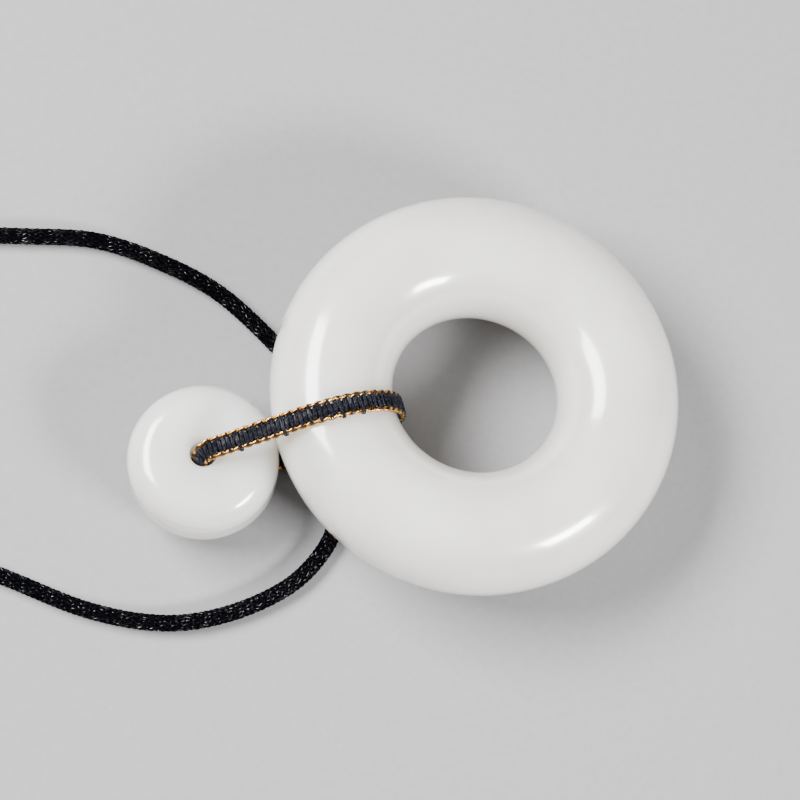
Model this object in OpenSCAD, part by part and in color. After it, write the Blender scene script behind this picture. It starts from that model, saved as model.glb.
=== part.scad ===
// A round ring and a flat round bead of white jade, held together by a woven strap that runs through both
// holes. A braided cord runs through the strap beneath the ring and is closed into a loop by a sleeve.
// Everything lies flat on a table at z = 0: the strap lies on the table, the cord crosses over it, and the
// ring rests on that crossing and on its own far side.

/* [Ring] */
// Outside diameter of the ring
ring_d = 56; // [48:1:64]
// Thickness of the ring's round section
ring_section_d = 16.6; // [14:0.2:18]

/* [Bead] */
// Diameter of the bead
bead_d = 20.6; // [18:0.2:23]
// Thickness of the bead from face to face
bead_h = 10.6; // [9:0.2:12]
// Radius of the bead's rounded rim
bead_rim_r = 3.8; // [2.5:0.1:4.4]
// Radius of the rounded mouths of the bead's hole
bead_mouth_r = 1; // [0.6:0.1:1.4]
// How far the bead's rim reaches in under the ring's overhang
bead_tuck = 0.4; // [0:0.1:1]
// Direction from the bead to the ring, turned from the X axis
bead_angle = 13.9; // [10:0.1:18]

/* [Strap] */
// Width of the strap
strap_w = 2.9; // [2.2:0.1:3.4]
// Thickness of the strap
strap_t = 1.2; // [0.9:0.1:1.6]
// Direction of the strap across the ring, turned from the X axis
strap_angle = 16.2; // [10:0.1:20]
// Side play that the strap has in the bead's hole
strap_play = 0.7; // [0.5:0.1:1.5]
// How far the strap turns about its own line as it goes down into the bead's hole
strap_hole_twist = 52; // [0:2:60]
// Length of the strap's sewn end beneath the bead, past the hole's middle
strap_end = 4.5; // [4:0.1:5]
// How far the strap lies to the near side of the bead hole's middle before it turns down
strap_mouth_side = 0.38; // [0:0.02:0.5]
// Radius of the strap's middle line where it turns out of the bead's hole
strap_mouth_turn = 2.6; // [2.4:0.1:3]
// Depth of that turn's middle below the bead's upper face
strap_mouth_drop = 1.2; // [1:0.1:1.6]
// Radius of the strap's middle line where it turns back beneath the ring
strap_under_turn = 2; // [1.8:0.1:2.4]

/* [Cord] */
// Thickness of the braided cord
cord_d = 2.4; // [2:0.1:2.4]
// Outside diameter of the sleeve that joins the cord's two ends
join_d = 4; // [3.6:0.1:4.4]
// Length of that sleeve
join_len = 9; // [8:0.5:9]
// Width of the bevel at each end of the sleeve
join_bevel = 0.6; // [0.3:0.1:0.8]

/* [Fit] */
// Gap between pieces that rest on each other
gap = 0.1; // [0.05:0.01:0.15]

/* [Hidden] */
$fn = 64;

// Ring: it tilts over the strap and the cord that lie beneath one side of it
ring_r = ring_section_d / 2;
ring_mid_r = ring_d / 2 - ring_r;
ring_lift = strap_t + cord_d + 2 * gap;
ring_tilt = asin(ring_lift / (2 * ring_mid_r));
ring_z = ring_mid_r * sin(ring_tilt) + ring_r;
ring_axis = [sin(ring_tilt) * cos(strap_angle), sin(ring_tilt) * sin(strap_angle), cos(ring_tilt)];
ring_half_x = ring_mid_r * sqrt(1 - pow(ring_axis[0], 2)) + ring_r;
ring_half_y = ring_mid_r * sqrt(1 - pow(ring_axis[1], 2)) + ring_r;

// Bead: it lies level on the strap, with its rim just in under the ring's raised side
bead_r = bead_d / 2;
bead_z = strap_t + gap + bead_h / 2;
bead_hole_d = strap_w + strap_play;
bead_reach = ring_mid_r * cos(ring_tilt) + ring_r + bead_r - bead_tuck;
bead_from_ring = -bead_reach * [cos(bead_angle), sin(bead_angle)];

// The origin lies on the table beneath the middle of the ring and the bead together
ring_x = -(ring_half_x + min(-ring_half_x, bead_from_ring[0] - bead_r)) / 2;
ring_y = -(max(ring_half_y, bead_from_ring[1] + bead_r) + min(-ring_half_y, bead_from_ring[1] - bead_r)) / 2;

// Strap's own frame: X from the bead to the ring's middle, seen from above, Y across the strap
strap_tube_x = -ring_mid_r * cos(ring_tilt);
strap_tube_z = ring_z + ring_mid_r * sin(ring_tilt);
strap_bead_x = -bead_reach * cos(strap_angle - bead_angle);
strap_bead_y = bead_reach * sin(strap_angle - bead_angle);
strap_edge_r = strap_t / 2;
// The strap goes down with one edge at the hole's wall, on the side away from the ring
strap_slack = (bead_hole_d - strap_w) / 2 - gap;
strap_hole_x = strap_bead_x - strap_slack * sin(strap_hole_twist);
strap_mouth_y = strap_bead_y - strap_mouth_side;
strap_hole_step = strap_mouth_side - strap_slack * cos(strap_hole_twist);
// Round turns of the strap's middle line: middle x, middle z, radius
under_turn = [strap_tube_x + cord_d, strap_edge_r + strap_under_turn, strap_under_turn];
over_ring = [strap_tube_x, strap_tube_z, ring_r + gap + strap_edge_r];
mouth_turn = [strap_hole_x + strap_mouth_turn, bead_z + bead_h / 2 - strap_mouth_drop, strap_mouth_turn];
// Strap's mesh: length of a step on the straight, angle of a step on a turn, points on a round edge
strap_step = 1.5;
strap_turn_step = 8;
strap_edge_points = 6;

// Cord: its route is chosen by hand, and it starts and ends at the sleeve. Columns are x, y, z
cord_route = [
    [-148.8, -2.6, 2.0], [-148.8, -3.6, 2.0], [-148.8, -4.8, 2.0], [-147.4, -7.8, 1.8], [-143.5, -9.8, 1.4],
    [-137.0, -10.6, 1.2], [-127.0, -10.6, 1.2], [-115.0, -10.8, 1.2], [-102.0, -12.0, 1.2], [-89.0, -14.2, 1.2], [-77.0, -16.8, 1.2],
    [-66.0, -19.8, 1.2], [-54.5, -23.8, 1.2], [-42.5, -28.5, 1.2], [-32.2, -30.2, 1.2], [-23.5, -28.8, 1.2],
    [-15.5, -25.0, 1.2], [-10.7, -20.0, 1.2], [-8.7, -15.0, 1.4], [-8.6, -10.0, 2.2], [-9.0, -7.0, 2.5],
    [-9.8, -3.6, 2.5], [-11.2, 0.2, 2.0], [-13.8, 4.9, 1.3], [-17.6, 9.7, 1.2], [-25.0, 16.6, 1.2],
    [-33.0, 21.0, 1.2], [-42.2, 24.1, 1.2], [-52.0, 24.6, 1.2], [-64.0, 24.6, 1.2], [-78.0, 24.4, 1.2],
    [-92.0, 23.9, 1.2], [-106.0, 22.9, 1.2], [-120.0, 21.2, 1.2], [-132.0, 18.6, 1.2], [-141.5, 14.6, 1.4],
    [-147.4, 11.6, 1.8], [-148.8, 8.8, 2.0], [-148.8, 7.6, 2.0], [-148.8, 6.6, 2.0]
];
cord_steps = 2;
cord_sides = 8;

// Angle of the line from one round turn's middle to the next one's, and its length
function toward(a, b) = atan2(b[1] - a[1], b[0] - a[0]);
function apart(a, b) = norm([b[0] - a[0], b[1] - a[1]]);
// Angle, on both turns alike, where the straight stretch that joins them touches their outer sides
function touch(a, b) = toward(a, b) - acos((a[2] - b[2]) / apart(a, b));

// A stretch is a list of places: x, z, the angle at which the strap's outer face looks, and its share of the twist
function turn_places(c, from, to, twist = [0, 0]) =
    let (n = ceil((to - from) / strap_turn_step))
    [for (i = [0:n]) let (a = from + (to - from) * i / n)
        [c[0] + c[2] * cos(a), c[1] + c[2] * sin(a), a, twist[0] + (twist[1] - twist[0]) * i / n]];
function between(a, b) =
    let (n = ceil(apart(a, b) / strap_step))
    [for (i = [1:1:n - 1]) a + (b - a) * i / n];
function joined(stretches, i = 0) =
    i == len(stretches) - 1 ? stretches[i]
    : concat(stretches[i], between(stretches[i][len(stretches[i]) - 1], stretches[i + 1][0]), joined(stretches, i + 1));

// Side step of the strap, which runs straight over the ring and then drifts to the bead's mouth
function drift(x) =
    let (share = min(1, max(0, (strap_tube_x - x) / (strap_tube_x - strap_hole_x))))
    strap_mouth_y * share * share * (3 - 2 * share);

under_touch = touch(under_turn, over_ring);
mouth_touch = (touch(over_ring, mouth_turn) + 360) % 360;
strap_line = joined([
    [[strap_bead_x - strap_end, strap_edge_r, -90, 0]],
    turn_places(under_turn, -90, under_touch),
    turn_places(over_ring, under_touch, mouth_touch),
    turn_places(mouth_turn, mouth_touch, 180, [0.1, 1]),
    [[strap_hole_x, strap_t + gap, 180, 1]]
]);

function unit(v) = v / norm(v);

// A tube's skin: rings of points, all with as many points, closed by a flat cap at each end
module skin(rings) {
    sides = len(rings[0]);
    last = len(rings) - 1;
    polyhedron(
        points = [for (ring = rings) for (p = ring) p],
        faces = concat(
            [[for (k = [0:sides - 1]) k]],
            [for (i = [0:last - 1]) for (k = [0:sides - 1])
                let (a = i * sides + k, b = i * sides + (k + 1) % sides)
                each [[a, b + sides, b], [a, a + sides, b + sides]]],
            [[for (k = [0:sides - 1]) last * sides + sides - 1 - k]]
        )
    );
}

module ring() {
    color("ghostwhite")
    translate([ring_x, ring_y, ring_z])
    rotate([0, 0, strap_angle])
    rotate([0, ring_tilt, 0])
    rotate_extrude()
    translate([ring_mid_r, 0])
    circle(ring_r);
}

// Half of the bead's section: flat faces, a rounded rim, and rounded mouths at its hole
module bead_section() {
    half = bead_h / 2;
    hole_r = bead_hole_d / 2;
    rim_x = bead_r - bead_rim_r;
    mouth_x = hole_r + bead_mouth_r;
    translate([mouth_x, -half])
    square([rim_x - mouth_x, bead_h]);
    translate([hole_r, -half + bead_mouth_r])
    square([bead_mouth_r, bead_h - 2 * bead_mouth_r]);
    translate([rim_x, -half + bead_rim_r])
    square([bead_rim_r, bead_h - 2 * bead_rim_r]);
    for (side = [-1, 1]) {
        translate([mouth_x, side * (half - bead_mouth_r)])
        circle(bead_mouth_r);
        translate([rim_x, side * (half - bead_rim_r)])
        circle(bead_rim_r);
    }
}

module bead() {
    color("ghostwhite")
    translate([ring_x + bead_from_ring[0], ring_y + bead_from_ring[1], bead_z])
    rotate_extrude()
    bead_section();
}

// Section of the strap across its way: round edges, with x across it and y towards its outer face
strap_section = [
    for (side = [1, -1]) for (i = [0:strap_edge_points - 1])
        let (a = -90 * side + 180 * i / (strap_edge_points - 1))
        [side * (strap_w - strap_t) / 2 + strap_edge_r * cos(a), strap_edge_r * sin(a)]
];

function strap_place(p) = [p[0], drift(p[0]) + strap_hole_step * p[3], p[1]];

// Ring of points around one place of the strap, from its neighbours' places
function strap_ring(i) =
    let (
        last = len(strap_line) - 1,
        way = unit(strap_place(strap_line[min(i + 1, last)]) - strap_place(strap_line[max(i - 1, 0)])),
        out = [cos(strap_line[i][2]), 0, sin(strap_line[i][2])],
        side = unit(cross(out, way)),
        twist = strap_hole_twist * strap_line[i][3],
        across = side * cos(twist) + cross(way, side) * sin(twist),
        face = cross(way, across),
        middle = strap_place(strap_line[i])
    )
    [for (p = strap_section) middle + across * p[0] + face * p[1]];

module strap() {
    color("midnightblue")
    translate([ring_x, ring_y, 0])
    rotate([0, 0, strap_angle])
    skin([for (i = [0:len(strap_line) - 1]) strap_ring(i)]);
}

// A point of the smooth curve through the route, at a share t of the way from point i to the next one
function on_route(i, t) =
    let (
        last = len(cord_route) - 1,
        a = cord_route[max(i - 1, 0)],
        b = cord_route[i],
        c = cord_route[min(i + 1, last)],
        d = cord_route[min(i + 2, last)]
    )
    0.5 * (2 * b + (c - a) * t + (2 * a - 5 * b + 4 * c - d) * t * t + (3 * b - a - 3 * c + d) * t * t * t);

cord_line = [
    for (i = [0:len(cord_route) - 2]) for (k = [0:cord_steps - 1]) on_route(i, k / cord_steps),
    cord_route[len(cord_route) - 1]
];

// Ring of points around one place of the cord
function cord_ring(i) =
    let (
        last = len(cord_line) - 1,
        way = unit(cord_line[min(i + 1, last)] - cord_line[max(i - 1, 0)]),
        across = unit(cross([0, 0, 1], way)),
        up = cross(way, across)
    )
    [for (k = [0:cord_sides - 1])
        let (a = 360 * (k + 0.5) / cord_sides)
        cord_line[i] + cord_d / 2 * (across * cos(a) + up * sin(a))];

module cord() {
    color("black")
    skin([for (i = [0:len(cord_line) - 1]) cord_ring(i)]);
}

module cord_join() {
    first = cord_route[0];
    last = cord_route[len(cord_route) - 1];
    color("dimgray")
    translate([first[0], (first[1] + last[1]) / 2, join_d / 2])
    rotate([90, 0, 0])
    rotate_extrude()
    polygon([
        [0, -join_len / 2],
        [join_d / 2 - join_bevel, -join_len / 2],
        [join_d / 2, -join_len / 2 + join_bevel],
        [join_d / 2, join_len / 2 - join_bevel],
        [join_d / 2 - join_bevel, join_len / 2],
        [0, join_len / 2]
    ]);
}

ring();
bead();
strap();
cord();
cord_join();
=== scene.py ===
import math

import bmesh
import bpy
from mathutils import Matrix, Vector


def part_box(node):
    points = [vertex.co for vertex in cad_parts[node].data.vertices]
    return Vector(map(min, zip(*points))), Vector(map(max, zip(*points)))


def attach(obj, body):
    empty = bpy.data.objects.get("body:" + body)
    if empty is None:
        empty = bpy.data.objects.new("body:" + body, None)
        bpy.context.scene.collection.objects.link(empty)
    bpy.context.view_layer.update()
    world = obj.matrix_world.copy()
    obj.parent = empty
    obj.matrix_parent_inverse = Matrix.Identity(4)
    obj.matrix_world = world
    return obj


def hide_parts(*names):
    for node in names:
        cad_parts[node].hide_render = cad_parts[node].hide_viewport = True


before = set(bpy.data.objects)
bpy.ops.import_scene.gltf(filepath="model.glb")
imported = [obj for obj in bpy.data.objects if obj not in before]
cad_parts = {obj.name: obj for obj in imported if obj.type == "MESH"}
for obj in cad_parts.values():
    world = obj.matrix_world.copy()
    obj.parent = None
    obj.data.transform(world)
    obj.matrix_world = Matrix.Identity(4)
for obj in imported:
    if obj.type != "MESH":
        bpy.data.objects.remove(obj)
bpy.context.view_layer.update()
scene = bpy.context.scene

# Sizes of the solids, in metres, and angles in degrees

RING_MIDDLE_R = 0.0197
RING_SECTION_R = 0.0083
RING_TILT = 5.534
BEAD_REACH = 0.03781
BEAD_H = 0.0106
BEAD_Z = 0.0066
BEAD_ANGLE = 13.9
STRAP_ANGLE = 16.2
STRAP_W = 0.0029
STRAP_T = 0.0012
STRAP_END = 0.0045
STRAP_UNDER_TURN = 0.002
STRAP_MOUTH_TURN = 0.0026
STRAP_MOUTH_DROP = 0.0012
CORD_D = 0.0024
GAP = 0.0001

# The woven strap's steps aside, and its turn and gather in the bead's hole

STRAP_RING_SIDE = 0.00026
STRAP_MOUTH_SIDE = 0.0002
STRAP_HOLE_SIDE = 0.0005
STRAP_HOLE_BACK = 0.00058
STRAP_HOLE_TWIST = -40
STRAP_HOLE_GATHER = 0.15
STRAP_TWIST_START = 0.1

# Places in the strap's own frame, whose origin is on the table beneath the ring's middle

STRAP_SWING = math.radians(STRAP_ANGLE - BEAD_ANGLE)
TUBE_X = -RING_MIDDLE_R * math.cos(math.radians(RING_TILT))
TUBE_Z = 2 * RING_MIDDLE_R * math.sin(math.radians(RING_TILT)) + RING_SECTION_R
BEAD_X = -BEAD_REACH * math.cos(STRAP_SWING)
BEAD_Y = BEAD_REACH * math.sin(STRAP_SWING)
HOLE_X = BEAD_X - STRAP_HOLE_BACK

# Degrees between two places on a turn of the strap's line

TURN_STEP = 3

# Navy ribs of the strap: loops of filament round a flat core, some of them crossing the gold

RIB_PITCH = 0.00069
RIB_FILAMENTS = 3
RIB_HALF_W = 0.001
RIB_EDGE_W = 0.00042
RIB_LEAN = 4
CROSSING_HALF_W = 0.00154
CROSSING_EDGE_W = 0.0005
LOOSE_RIBS = (72, 76, 88, 98)
LOOSE_SIDE = 0.0002
FILAMENT_PITCH = 0.00018
FILAMENT_R = 0.000105
FILAMENT_LEAN = 3
FILAMENT_SWELL = 0.03
LEAN_BY_RIB = 1.7
LEAN_BY_FILAMENT = 2.1
SWELL_BY_RIB = 2.3
OUTER_FILAMENT = 0.82
LOOP_STEPS = 14
LOOP_SIDES = 4
LOOP_MIDDLE = 0.00004
CORE_EDGE = 0.0007
CORE_DEPTH = 0.0002
CORE_FLAT = 0.85
CORE_SAMPLES = 160

# Gold threads of the strap: wound from a start angle, and drawn in tight at the hole's end

GOLD_SIDE = 0.00109
GOLD_SPREAD = 0.0001
GOLD_RISE = 0.00008
GOLD_R = 0.0002
GOLD_TWIST_R = 0.00016
GOLD_PITCH = 4 * RIB_PITCH
GOLD_START = 225
GOLD_SAMPLES = 14
GOLD_END = 0.0002
GOLD_TIGHT_END = 0.0095
GOLD_TIGHT_FADE = 0.003

# Braided cord, and its smooth line

BRAID_STRANDS = 10
BRAID_STEP = 0.0015
BRAID_MIDDLE_R = 0.00098
BRAID_WAVE = 0.00009
BRAID_SAMPLES = 5
BRAID_WELD = 0.00001
STRAND_HALF_W = 0.0003
STRAND_HALF_T = 0.00013
STRAND_SIDES = 4
CORD_CORE_R = 0.00086
CORD_CORE_SIDES = 8
ROUTE_STEPS = 12

# Cord's route: from the sleeve past the bead, over the strap beneath the ring, and back to the sleeve
CORD_ROUTE = [
    (-0.1488, -0.0026, 0.0020), (-0.1488, -0.0036, 0.0020), (-0.1488, -0.0048, 0.0020),
    (-0.1474, -0.0078, 0.0018), (-0.1435, -0.0098, 0.0014), (-0.1370, -0.0106, 0.0012),
    (-0.1270, -0.0106, 0.0012), (-0.1150, -0.0108, 0.0012), (-0.1020, -0.0120, 0.0012),
    (-0.0890, -0.0142, 0.0012), (-0.0770, -0.0168, 0.0012), (-0.0660, -0.0198, 0.0012),
    (-0.0545, -0.0238, 0.0012), (-0.0425, -0.0285, 0.0012), (-0.0322, -0.0302, 0.0012),
    (-0.0235, -0.0288, 0.0012), (-0.0155, -0.0250, 0.0012), (-0.0107, -0.0200, 0.0012),
    (-0.0087, -0.0150, 0.0014), (-0.0086, -0.0100, 0.0022), (-0.0090, -0.0070, 0.0025),
    (-0.0098, -0.0036, 0.0025), (-0.0112, 0.0002, 0.0020), (-0.0138, 0.0049, 0.0013),
    (-0.0176, 0.0097, 0.0012), (-0.0250, 0.0166, 0.0012), (-0.0330, 0.0210, 0.0012),
    (-0.0422, 0.0241, 0.0012), (-0.0520, 0.0246, 0.0012), (-0.0640, 0.0246, 0.0012),
    (-0.0780, 0.0244, 0.0012), (-0.0920, 0.0239, 0.0012), (-0.1060, 0.0229, 0.0012),
    (-0.1200, 0.0212, 0.0012), (-0.1320, 0.0186, 0.0012), (-0.1415, 0.0146, 0.0014),
    (-0.1474, 0.0116, 0.0018), (-0.1488, 0.0088, 0.0020), (-0.1488, 0.0076, 0.0020),
    (-0.1488, 0.0066, 0.0020),
]

# Camera, floor and light

CAMERA_RIGHT = (0.99875, 0.0, 0.05)
CAMERA_UP = (-0.01418, 0.95906, 0.2828)
CAMERA_AIM = (-0.0001, 0.0021, 0)
CAMERA_REACH = 0.65
CAMERA_LENS = 212.3
FLOOR_SIZE = 6
FLOOR_DROP = 0.00002
SKY_STRENGTH = 0.15

# Middle of a noise's range, which a finish's two tones spread over

NOISE_LOW = 0.3
NOISE_HIGH = 0.7


def add_camera():
    """Camera at the photograph's angle: nearly overhead, a little from the front and the left."""
    right = Vector(CAMERA_RIGHT)
    up = Vector(CAMERA_UP)
    back = right.cross(up)
    turn = Matrix((right, up, back)).transposed().to_4x4()
    data = bpy.data.cameras.new("camera")
    data.lens = CAMERA_LENS
    data.sensor_width = 36
    data.clip_start = 0.05
    data.clip_end = 10
    camera = bpy.data.objects.new("camera", data)
    camera.matrix_world = Matrix.Translation(Vector(CAMERA_AIM) + back * CAMERA_REACH) @ turn
    scene.collection.objects.link(camera)
    scene.camera = camera


def add_light(name, azimuth, elevation, distance, width, height, power):
    """Soft box that looks at the piece from an azimuth and an elevation, with its width level."""
    data = bpy.data.lights.new(name, "AREA")
    data.shape = "RECTANGLE"
    data.size = width
    data.size_y = height
    data.energy = power
    light = bpy.data.objects.new(name, data)
    a = math.radians(azimuth)
    e = math.radians(elevation)
    look = Vector((math.cos(a) * math.cos(e), math.sin(a) * math.cos(e), math.sin(e)))
    turn = look.to_track_quat("Z", "Y").to_matrix().to_4x4()
    light.matrix_world = Matrix.Translation(look * distance) @ turn
    scene.collection.objects.link(light)


# Lines, tubes and selections

def smooth_route(points, steps):
    """Points on the smooth curve through the route's points."""
    line = []
    last = len(points) - 1
    for i in range(last):
        a = Vector(points[max(i - 1, 0)])
        b = Vector(points[i])
        c = Vector(points[i + 1])
        d = Vector(points[min(i + 2, last)])
        for k in range(steps):
            t = k / steps
            bend = 2 * a - 5 * b + 4 * c - d
            swing = 3 * b - a - 3 * c + d
            line.append(0.5 * (2 * b + (c - a) * t + bend * t ** 2 + swing * t ** 3))
    line.append(Vector(points[last]))
    return line


def line_length(line):
    """Length of a line of points."""
    return sum((b - a).length for a, b in zip(line, line[1:]))


def deselect():
    """Nothing is selected, so that the next operator acts on its own piece alone."""
    if bpy.context.mode != "OBJECT":
        bpy.ops.object.mode_set(mode="OBJECT")
    bpy.ops.object.select_all(action="DESELECT")


def take(piece):
    """The piece is the only one selected and the active one."""
    deselect()
    piece.select_set(True)
    bpy.context.view_layer.objects.active = piece


def select_points(piece, wanted):
    """In edit mode, selects the points whose place is wanted."""
    mesh = bmesh.from_edit_mesh(piece.data)
    for point in mesh.verts:
        point.select_set(wanted(point.co))
    mesh.select_flush_mode()
    bmesh.update_edit_mesh(piece.data)


def join(pieces, name):
    """Several pieces become one mesh."""
    take(pieces[0])
    for piece in pieces:
        piece.select_set(True)
    bpy.ops.object.join()
    joined = bpy.context.object
    joined.name = name
    joined.data.name = name
    return joined


def line_curve(name, points):
    """A curve along points, as an object, and its data."""
    data = bpy.data.curves.new(name, "CURVE")
    data.dimensions = "3D"
    spline = data.splines.new("POLY")
    spline.points.add(len(points) - 1)
    for place, point in zip(spline.points, points):
        place.co = (*point, 1)
    curve = bpy.data.objects.new(name, data)
    scene.collection.objects.link(curve)
    return curve, data


def skin(name, rings, closed_ends=True):
    """A tube's skin over rings of points, with a UV map: along the tube, and around it."""
    sides = len(rings[0])
    lengths = len(rings) - 1
    points = [p for ring in rings for p in ring]
    faces = []
    for i in range(lengths):
        for k in range(sides):
            a = i * sides + k
            b = i * sides + (k + 1) % sides
            faces.append((a, b, b + sides, a + sides))
    if closed_ends:
        faces.append(tuple(reversed(range(sides))))
        faces.append(tuple(range(lengths * sides, len(points))))
    mesh = bpy.data.meshes.new(name)
    mesh.from_pydata(points, [], faces)
    mesh.update()
    uv = mesh.uv_layers.new(name="UVMap")
    for i in range(lengths):
        for k in range(sides):
            loop = (i * sides + k) * 4
            for corner, (u, v) in enumerate(((i, k), (i, k + 1), (i + 1, k + 1), (i + 1, k))):
                uv.data[loop + corner].uv = (u / lengths, v / sides)
    piece = bpy.data.objects.new(name, mesh)
    scene.collection.objects.link(piece)
    return piece


# The strap's middle line

def strap_turns():
    """The strap's turns beneath the ring, round it and at the bead's mouth: middle x, middle z, radius."""
    under = (TUBE_X + CORD_D, STRAP_T / 2 + STRAP_UNDER_TURN, STRAP_UNDER_TURN)
    over = (TUBE_X, TUBE_Z, RING_SECTION_R + GAP + STRAP_T / 2)
    mouth = (HOLE_X + STRAP_MOUTH_TURN, BEAD_Z + BEAD_H / 2 - STRAP_MOUTH_DROP, STRAP_MOUTH_TURN)
    return under, over, mouth


def touch(a, b):
    """Angle, on both turns alike, where the straight stretch between them touches their outer sides."""
    way = math.atan2(b[1] - a[1], b[0] - a[0])
    apart = math.hypot(b[0] - a[0], b[1] - a[1])
    return math.degrees(way - math.acos((a[2] - b[2]) / apart))


def strap_line():
    """Places along the strap: x, z, the angle at which its outer face looks, and its share of the twist."""
    under, over, mouth = strap_turns()
    under_touch = touch(under, over)
    mouth_touch = touch(over, mouth) % 360
    places = [(BEAD_X - STRAP_END, STRAP_T / 2, -90, 0)]
    for turn, start, end, twist in (
        (under, -90, under_touch, (0, 0)),
        (over, under_touch, mouth_touch, (0, 0)),
        (mouth, mouth_touch, 180, (STRAP_TWIST_START, 1)),
    ):
        count = math.ceil((end - start) / TURN_STEP)
        for i in range(count + 1):
            angle = start + (end - start) * i / count
            x = turn[0] + turn[2] * math.cos(math.radians(angle))
            z = turn[1] + turn[2] * math.sin(math.radians(angle))
            places.append((x, z, angle, twist[0] + (twist[1] - twist[0]) * i / count))
    places.append((HOLE_X, STRAP_T + GAP, 180, 1))
    return places


def strap_point(place):
    """A place on the strap's line with its step aside, from the ring to the bead's mouth and hole."""
    share = min(1, max(0, (TUBE_X - place[0]) / (TUBE_X - HOLE_X)))
    drift = share * share * (3 - 2 * share)
    side = STRAP_RING_SIDE * (1 - share ** 4) + (STRAP_MOUTH_SIDE - STRAP_HOLE_SIDE) * place[3]
    return Vector((place[0], (BEAD_Y - STRAP_MOUTH_SIDE) * drift + side, place[1]))


class Strap:
    """The strap's middle line, measured along its length."""

    def __init__(self):
        self.places = strap_line()
        self.points = [strap_point(p) for p in self.places]
        self.at = [0.0]
        for a, b in zip(self.points, self.points[1:]):
            self.at.append(self.at[-1] + (b - a).length)
        self.length = self.at[-1]
        low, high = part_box("ring")
        middle = (Vector(low) + Vector(high)) / 2
        turn = Matrix.Rotation(math.radians(STRAP_ANGLE), 4, "Z")
        self.stand = Matrix.Translation((middle.x, middle.y, 0)) @ turn

    def frame(self, distance):
        """Matrix at a distance along the strap: X along it, Y across it, Z out of its outer face."""
        i = 0
        while i < len(self.at) - 2 and self.at[i + 1] < distance:
            i += 1
        share = (distance - self.at[i]) / (self.at[i + 1] - self.at[i])
        point = self.points[i].lerp(self.points[i + 1], share)
        angle = math.radians(self.places[i][2] + (self.places[i + 1][2] - self.places[i][2]) * share)
        turned = self.places[i][3] + (self.places[i + 1][3] - self.places[i][3]) * share
        out = Vector((math.cos(angle), 0, math.sin(angle)))
        way = self.points[i + 1] - self.points[i]
        way = (way - out * way.dot(out)).normalized()
        across = out.cross(way)
        turn = Matrix((way, across, out)).transposed().to_4x4()
        twist = Matrix.Rotation(math.radians(STRAP_HOLE_TWIST * turned), 4, "X")
        gather = Matrix.Diagonal((1, 1 - STRAP_HOLE_GATHER * turned, 1, 1))
        return self.stand @ Matrix.Translation(point) @ turn @ twist @ gather


# Threads of the strap

def model_loop(name, half_width, edge_width):
    """One turn of navy filament round the strap's core: straight on the faces and rounded at the edges."""
    deselect()
    bpy.ops.mesh.primitive_torus_add(
        major_segments=LOOP_STEPS, minor_segments=LOOP_SIDES, major_radius=STRAP_T / 2 - FILAMENT_R,
        minor_radius=FILAMENT_R, rotation=(0, math.pi / 2, 0))
    loop = bpy.context.object
    loop.name = name
    bpy.ops.object.transform_apply(location=True, rotation=True, scale=True)
    bpy.ops.object.mode_set(mode="EDIT")
    bpy.ops.mesh.select_all(action="SELECT")
    bpy.ops.transform.resize(value=(1, edge_width / (STRAP_T / 2), 1), center_override=(0, 0, 0))
    for side in (1, -1):
        select_points(loop, lambda co: co.y * side > LOOP_MIDDLE)
        bpy.ops.transform.translate(value=(0, side * (half_width - edge_width), 0))
    bpy.ops.object.mode_set(mode="OBJECT")
    bpy.ops.object.shade_smooth()
    return loop


def wind_ribs(strap):
    """The navy filaments' turns, three to a rib, with two of them over the gold at every second rib.

    At the loose ribs all three have slipped to the near side and stand out past the gold.
    """
    plain = model_loop("plain_loop", RIB_HALF_W, RIB_EDGE_W)
    crossing = model_loop("crossing_loop", CROSSING_HALF_W, CROSSING_EDGE_W)
    copies = []
    for i in range(int(strap.length / RIB_PITCH)):
        loose = i in LOOSE_RIBS
        slip = LOOSE_SIDE if loose else 0
        rib_lean = RIB_LEAN if i % 2 == 0 else -RIB_LEAN
        for k in range(RIB_FILAMENTS):
            model = crossing if loose or (k > 0 and i % 2 == 0) else plain
            distance = (i + 0.5) * RIB_PITCH + (k - 1) * FILAMENT_PITCH
            lean = math.radians(FILAMENT_LEAN * math.sin(LEAN_BY_RIB * i + LEAN_BY_FILAMENT * k) + rib_lean)
            swell = (1 if k == 1 else OUTER_FILAMENT) + FILAMENT_SWELL * math.sin(SWELL_BY_RIB * i + k)
            at = strap.frame(distance) @ Matrix.Translation((0, slip, 0))
            at = at @ Matrix.Rotation(lean, 4, "Z") @ Matrix.Diagonal((1, 1, swell, 1))
            copy = model.copy()
            copy.data = model.data.copy()
            copy.data.transform(at)
            scene.collection.objects.link(copy)
            copies.append(copy)
    for model in (plain, crossing):
        bpy.data.objects.remove(model)
    return join(copies, "strap_ribs")


def core_of_strap(strap):
    """Flat core that the ribs are wound on."""
    half_w = STRAP_W / 2 - CORE_EDGE
    half_t = STRAP_T / 2 - CORE_DEPTH
    flat = half_w * CORE_FLAT
    section = [
        (half_w, 0), (flat, half_t), (-flat, half_t),
        (-half_w, 0), (-flat, -half_t), (flat, -half_t),
    ]
    rings = []
    for i in range(CORE_SAMPLES + 1):
        at = strap.frame(strap.length * i / CORE_SAMPLES)
        rings.append([at @ Vector((0, y, z)) for y, z in section])
    return skin("strap_core", rings)


def gold_thread(points):
    """A round gold thread through points."""
    curve, data = line_curve("gold_thread", points)
    data.bevel_depth = GOLD_R
    data.bevel_resolution = 2
    data.use_fill_caps = True
    take(curve)
    bpy.ops.object.convert(target="MESH")
    bpy.ops.object.shade_smooth()
    return bpy.context.object


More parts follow.
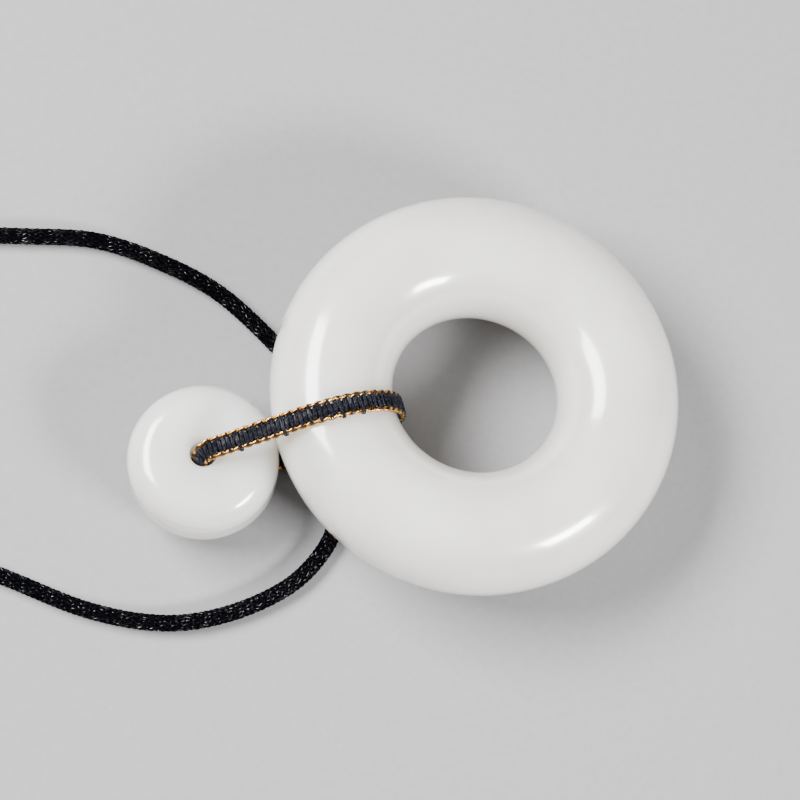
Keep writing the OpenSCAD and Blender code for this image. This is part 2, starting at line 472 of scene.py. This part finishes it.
def twist_gold(strap):
    """Two gold threads twisted together along each edge, drawn in tighter towards the bead's hole."""
    threads = []
    steps = int(strap.length / GOLD_PITCH * GOLD_SAMPLES)
    for side in (1, -1):
        for half in (0, 1):
            points = []
            for i in range(steps + 1):
                distance = GOLD_END + (strap.length - 2 * GOLD_END) * i / steps
                turn = math.radians(GOLD_START + 180 * half) - 2 * math.pi * distance / GOLD_PITCH
                free = min(1, max(0, (strap.length - GOLD_TIGHT_END - distance) / GOLD_TIGHT_FADE))
                y = side * (GOLD_SIDE + GOLD_SPREAD * free) + GOLD_TWIST_R * math.cos(turn)
                z = GOLD_RISE * free + GOLD_TWIST_R * math.sin(turn)
                points.append(strap.frame(distance) @ Vector((0, y, z)))
            threads.append(gold_thread(points))
    return join(threads, "strap_gold")


# Braided cord

def braid_strand(number, hand, length):
    """One strand of the braid's repeat: it winds to one hand and passes over and under in turn."""
    rings = []
    for k in range(BRAID_SAMPLES + 1):
        share = k / BRAID_SAMPLES
        turn = 2 * math.pi * (number + hand * share) / BRAID_STRANDS
        radius = BRAID_MIDDLE_R + hand * BRAID_WAVE * math.cos(2 * math.pi * share)
        out = Vector((0, math.cos(turn), math.sin(turn)))
        round_way = Vector((0, -math.sin(turn), math.cos(turn)))
        way = Vector((1, 0, 0)) + round_way * hand * 2 * math.pi * BRAID_MIDDLE_R / (BRAID_STRANDS * length)
        beside = out.cross(way.normalized())
        middle = Vector((length * share, 0, 0)) + out * radius
        ring = []
        for q in range(STRAND_SIDES):
            angle = 2 * math.pi * q / STRAND_SIDES
            wide = beside * STRAND_HALF_W * math.cos(angle)
            ring.append(middle + wide + out * STRAND_HALF_T * math.sin(angle))
        rings.append(ring)
    return skin("braid_strand", rings, closed_ends=False)


def wind_braid(line, length):
    """The braid: one repeat, copied on to the cord's length, bent along its route and closed."""
    count = round(length / BRAID_STEP)
    step = length / count
    strands = [braid_strand(i, hand, step) for hand in (1, -1) for i in range(BRAID_STRANDS)]
    cord = join(strands, "cord_braid")
    route, data = line_curve("cord_route", line)
    data.twist_mode = "Z_UP"
    take(cord)
    bpy.ops.object.modifier_add(type="ARRAY")
    array = cord.modifiers[-1]
    array.count = count
    array.use_relative_offset = False
    array.use_constant_offset = True
    array.constant_offset_displace = (step, 0, 0)
    array.use_merge_vertices = True
    array.merge_threshold = BRAID_WELD
    bpy.ops.object.modifier_apply(modifier=array.name)
    bpy.ops.object.modifier_add(type="CURVE")
    bend = cord.modifiers[-1]
    bend.object = route
    bend.deform_axis = "POS_X"
    bpy.ops.object.modifier_apply(modifier=bend.name)
    bpy.ops.object.mode_set(mode="EDIT")
    bpy.ops.mesh.select_all(action="SELECT")
    bpy.ops.mesh.fill_holes(sides=STRAND_SIDES)
    bpy.ops.object.mode_set(mode="OBJECT")
    bpy.ops.object.shade_smooth()
    bpy.data.objects.remove(route)
    return cord


def core_of_cord(line):
    """Dull core that fills the braid."""
    rings = []
    for i, point in enumerate(line):
        way = (line[min(i + 1, len(line) - 1)] - line[max(i - 1, 0)]).normalized()
        across = Vector((0, 0, 1)).cross(way).normalized()
        up = way.cross(across)
        angles = [2 * math.pi * k / CORD_CORE_SIDES for k in range(CORD_CORE_SIDES)]
        rings.append([point + (across * math.cos(a) + up * math.sin(a)) * CORD_CORE_R for a in angles])
    return skin("cord_core", rings)


# Materials

def set_inputs(node, values):
    """Sets the node's sockets by name."""
    for key, value in values.items():
        node.inputs[key].default_value = value


def node_tools(tree):
    """Two helpers for a tree of nodes: one adds a node with its inputs, and one links two sockets."""
    def add(kind, inputs=None, **settings):
        node = tree.nodes.new(kind)
        for key, value in settings.items():
            setattr(node, key, value)
        set_inputs(node, inputs or {})
        return node

    def link(a, b):
        tree.links.new(a, b)

    return add, link


def new_material(name):
    """A material with its shader, and the two helpers for its nodes."""
    made = bpy.data.materials.new(name)
    made.use_nodes = True
    add, link = node_tools(made.node_tree)
    return made, made.node_tree.nodes["Principled BSDF"], add, link


def two_tones(add, dark, light):
    """A colour ramp from a dark tone to a light one, over the middle of a noise's range."""
    node = add("ShaderNodeValToRGB")
    start, end = node.color_ramp.elements
    start.position = NOISE_LOW
    start.color = (*dark, 1)
    end.position = NOISE_HIGH
    end.color = (*light, 1)
    return node


def fibre_group():
    """Fine fibres for any thread: their two tones, their relief, and the spots where they shine."""
    group = bpy.data.node_groups.new("fibres", "ShaderNodeTree")
    for name, way, kind in (
        ("Scale", "INPUT", "NodeSocketFloat"),
        ("Dark", "INPUT", "NodeSocketColor"),
        ("Light", "INPUT", "NodeSocketColor"),
        ("Count", "INPUT", "NodeSocketFloat"),
        ("Colour", "OUTPUT", "NodeSocketColor"),
        ("Height", "OUTPUT", "NodeSocketFloat"),
        ("Shine", "OUTPUT", "NodeSocketFloat"),
    ):
        group.interface.new_socket(name, in_out=way, socket_type=kind)
    add, link = node_tools(group)
    inside = add("NodeGroupInput")
    outside = add("NodeGroupOutput")
    coordinates = add("ShaderNodeTexCoord")

    # Two tones in a fine noise
    fine = add("ShaderNodeTexNoise", {"Detail": 3})
    tone = add("ShaderNodeMapRange", {"From Min": 0.42, "From Max": 0.66})
    mix = add("ShaderNodeMix", data_type="RGBA")
    link(coordinates.outputs["Object"], fine.inputs["Vector"])
    link(inside.outputs["Scale"], fine.inputs["Scale"])
    link(fine.outputs["Fac"], tone.inputs["Value"])
    link(tone.outputs["Result"], mix.inputs["Factor"])
    link(inside.outputs["Dark"], mix.inputs[6])
    link(inside.outputs["Light"], mix.inputs[7])
    link(mix.outputs[2], outside.inputs["Colour"])

    # Relief: fibres side by side round the thread, with the same noise
    apart = add("ShaderNodeSeparateXYZ")
    around = add("ShaderNodeMath", operation="MULTIPLY")
    wave = add("ShaderNodeMath", {1: 0.5}, operation="PINGPONG")
    relief = add("ShaderNodeMath", operation="ADD")
    link(coordinates.outputs["UV"], apart.inputs["Vector"])
    link(apart.outputs["Y"], around.inputs[0])
    link(inside.outputs["Count"], around.inputs[1])
    link(around.outputs["Value"], wave.inputs[0])
    link(wave.outputs["Value"], relief.inputs[0])
    link(fine.outputs["Fac"], relief.inputs[1])
    link(relief.outputs["Value"], outside.inputs["Height"])

    # Spots that shine, drawn out along the fibres
    larger = add("ShaderNodeMath", {1: 0.15}, operation="MULTIPLY")
    place = add("ShaderNodeVectorMath", operation="SCALE")
    dashes = add("ShaderNodeCombineXYZ")
    drawn_out = add("ShaderNodeVectorMath", operation="ADD")
    spots = add("ShaderNodeTexNoise", {"Scale": 1, "Detail": 1})
    shine = add("ShaderNodeMapRange", {"From Min": 0.5, "From Max": 0.7})
    link(inside.outputs["Scale"], larger.inputs[0])
    link(coordinates.outputs["Object"], place.inputs[0])
    link(larger.outputs["Value"], place.inputs["Scale"])
    link(apart.outputs["X"], dashes.inputs["X"])
    link(around.outputs["Value"], dashes.inputs["Y"])
    link(place.outputs["Vector"], drawn_out.inputs[0])
    link(dashes.outputs["Vector"], drawn_out.inputs[1])
    link(drawn_out.outputs["Vector"], spots.inputs["Vector"])
    link(spots.outputs["Fac"], shine.inputs["Value"])
    link(shine.outputs["Result"], outside.inputs["Shine"])
    return group


def jade_material():
    """White nephrite: milky, with faint clouds deep in it, and a soft greasy polish."""
    made, shader, add, link = new_material("white_jade")
    coordinates = add("ShaderNodeTexCoord")
    clouds = add("ShaderNodeTexNoise", {"Scale": 75, "Detail": 4, "Roughness": 0.55})
    tint = two_tones(add, (0.71, 0.695, 0.655), (0.81, 0.795, 0.765))
    polish = add("ShaderNodeTexNoise", {"Scale": 420, "Detail": 2})
    gloss = add("ShaderNodeMapRange", {
        "From Min": NOISE_LOW,
        "From Max": NOISE_HIGH,
        "To Min": 0.2,
        "To Max": 0.27,
    })
    bump = add("ShaderNodeBump", {"Strength": 0.05, "Distance": 0.00003})
    link(coordinates.outputs["Object"], clouds.inputs["Vector"])
    link(coordinates.outputs["Object"], polish.inputs["Vector"])
    link(clouds.outputs["Fac"], tint.inputs["Fac"])
    link(tint.outputs["Color"], shader.inputs["Base Color"])
    link(polish.outputs["Fac"], gloss.inputs["Value"])
    link(gloss.outputs["Result"], shader.inputs["Roughness"])
    link(polish.outputs["Fac"], bump.inputs["Height"])
    link(bump.outputs["Normal"], shader.inputs["Normal"])
    set_inputs(shader, {
        "Subsurface Weight": 1.0,
        "Subsurface Radius": (1.0, 0.84, 0.7),
        "Subsurface Scale": 0.014,
        "IOR": 1.6,
        "Coat Weight": 1.0,
        "Coat Roughness": 0.1,
    })
    return made


def thread_material(name, group, dark, light, scale, count, relief, sheen, values):
    """A thread's finish: a count of fibres round it, in two tones with a relief, and spots that glint."""
    made, shader, add, link = new_material(name)
    surface = add("ShaderNodeGroup", node_tree=group)
    set_inputs(surface, {"Scale": scale, "Dark": (*dark, 1), "Light": (*light, 1), "Count": count})
    bump = add("ShaderNodeBump", {"Strength": 0.6, "Distance": relief})
    gloss = add("ShaderNodeMapRange", {"To Max": sheen})
    link(surface.outputs["Colour"], shader.inputs["Base Color"])
    link(surface.outputs["Height"], bump.inputs["Height"])
    link(bump.outputs["Normal"], shader.inputs["Normal"])
    link(surface.outputs["Shine"], gloss.inputs["Value"])
    link(gloss.outputs["Result"], shader.inputs["Coat Weight"])
    set_inputs(shader, values)
    return made


def floor_material():
    """Pale matt paper."""
    made, shader, add, link = new_material("pale_paper")
    coordinates = add("ShaderNodeTexCoord")
    grain = add("ShaderNodeTexNoise", {"Scale": 900, "Detail": 2})
    tint = two_tones(add, (0.32, 0.315, 0.32), (0.34, 0.335, 0.34))
    link(coordinates.outputs["Object"], grain.inputs["Vector"])
    link(grain.outputs["Fac"], tint.inputs["Fac"])
    link(tint.outputs["Color"], shader.inputs["Base Color"])
    set_inputs(shader, {"Roughness": 0.9})
    return made


def finish(piece, material):
    """The piece has this one material."""
    piece.data.materials.clear()
    piece.data.materials.append(material)


# The scene

add_camera()

cord_line = smooth_route(CORD_ROUTE, ROUTE_STEPS)
cord_length = line_length(cord_line)
cord = wind_braid(cord_line, cord_length)
cord_core = core_of_cord(cord_line)

strap = Strap()
ribs = wind_ribs(strap)
strap_core = core_of_strap(strap)
gold = twist_gold(strap)

fibres = fibre_group()
navy_thread = thread_material(
    "navy_thread", fibres, dark=(0.0006, 0.0006, 0.0016), light=(0.031, 0.033, 0.05), scale=4500, count=5,
    relief=0.00006, sheen=1.0,
    values={"Roughness": 0.5, "Specular IOR Level": 0.1, "Coat Roughness": 0.24})
gold_finish = thread_material(
    "gold_thread", fibres, dark=(0.32, 0.11, 0.012), light=(1.0, 0.6, 0.15), scale=5000, count=0,
    relief=0.00004, sheen=0.2,
    values={"Roughness": 0.26, "Metallic": 1.0, "Coat Roughness": 0.15})
black_satin = thread_material(
    "black_satin", fibres, dark=(0.001, 0.001, 0.0015), light=(0.003, 0.003, 0.0045), scale=6000, count=6,
    relief=0.00004, sheen=0.85,
    values={"Roughness": 0.5, "Specular IOR Level": 0.0, "Coat Roughness": 0.2})
black_core = thread_material(
    "black_core", fibres, dark=(0.001, 0.001, 0.001), light=(0.002, 0.002, 0.002), scale=3000, count=0,
    relief=0.00004, sheen=0.02,
    values={"Roughness": 0.8, "Specular IOR Level": 0.03})
black_sleeve = thread_material(
    "black_sleeve", fibres, dark=(0.01, 0.01, 0.011), light=(0.016, 0.016, 0.018), scale=1500, count=0,
    relief=0.00002, sheen=0.1,
    values={"Roughness": 0.45, "Specular IOR Level": 0.35, "Coat Roughness": 0.3})
jade = jade_material()

finish(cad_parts["ring"], jade)
finish(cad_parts["bead"], jade)
finish(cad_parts["cord_join"], black_sleeve)
finish(ribs, navy_thread)
finish(strap_core, black_core)
finish(gold, gold_finish)
finish(cord, black_satin)
finish(cord_core, black_core)

strap_weave = join([ribs, strap_core], "strap_weave")
for piece in (strap_weave, gold, cord, cord_core):
    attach(piece, "root")
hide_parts("strap")
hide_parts("cord")

deselect()
bpy.ops.mesh.primitive_plane_add(size=FLOOR_SIZE, location=(0, 0, -FLOOR_DROP))
floor = bpy.context.object
floor.name = "floor"
finish(floor, floor_material())

add_light("key", azimuth=158, elevation=49, distance=0.6, width=0.44, height=0.22, power=11.5)
add_light("front", azimuth=321, elevation=32, distance=0.7, width=0.24, height=0.12, power=10)
world = bpy.data.worlds.new("studio")
world.use_nodes = True
set_inputs(world.node_tree.nodes["Background"], {"Color": (1, 1, 1, 1), "Strength": SKY_STRENGTH})
scene.world = world
